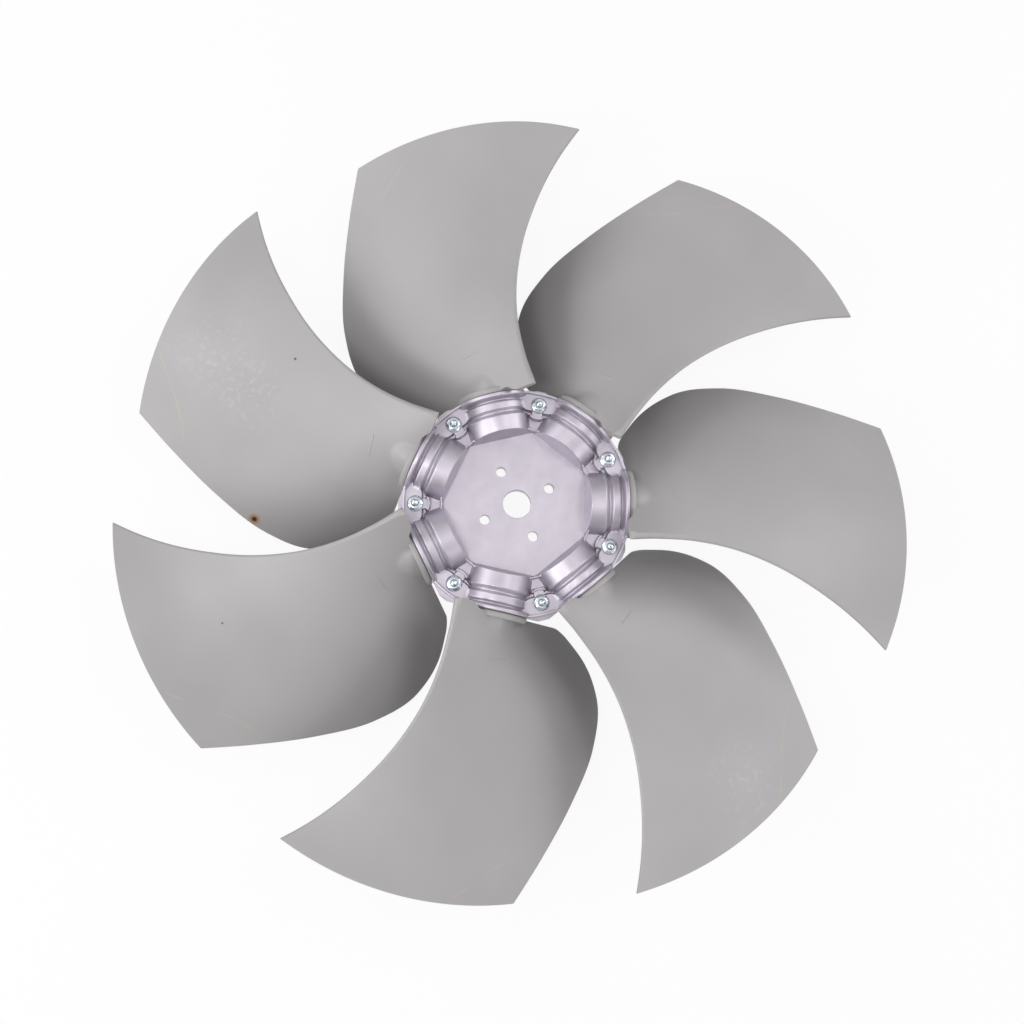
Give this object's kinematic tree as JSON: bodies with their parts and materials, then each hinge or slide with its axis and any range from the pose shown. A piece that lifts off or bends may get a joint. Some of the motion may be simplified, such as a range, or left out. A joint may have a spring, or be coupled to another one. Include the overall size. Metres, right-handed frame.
{
  "type": "axial fan impeller",
  "caption": "Axial fan impeller: swept, twisted aerofoil blades whose round roots are clamped in the sockets of a split cast hub with a flat bored centre plate.",
  "frame": {"origin": "bore axis at the plane where the two hub halves meet", "axes": "+Z along the bore towards the inlet side with the nuts, +X along the first blade"},
  "size_m": [0.6794, 0.68, 0.102],
  "materials": {
    "cast_hub": "as cast, fine matt grain",
    "blade_moulding": "glass-fibre reinforced polyamide, satin",
    "insert_moulding": "moulded",
    "zinc_steel": "bright zinc plated"
  },
  "bodies": {
    "root": {"front_hub_half": "cast_hub", "rear_hub_half": "cast_hub", "blade_1": "blade_moulding", "blade_2": "blade_moulding", "blade_3": "blade_moulding", "blade_4": "blade_moulding", "blade_5": "blade_moulding", "blade_6": "blade_moulding", "blade_7": "blade_moulding", "pitch_insert_1": "insert_moulding", "pitch_insert_2": "insert_moulding", "pitch_insert_3": "insert_moulding", "pitch_insert_4": "insert_moulding", "pitch_insert_5": "insert_moulding", "pitch_insert_6": "insert_moulding", "pitch_insert_7": "insert_moulding", "clamp_bolts": "zinc_steel", "flange_nuts": "zinc_steel"}
  },
  "joints": []
}
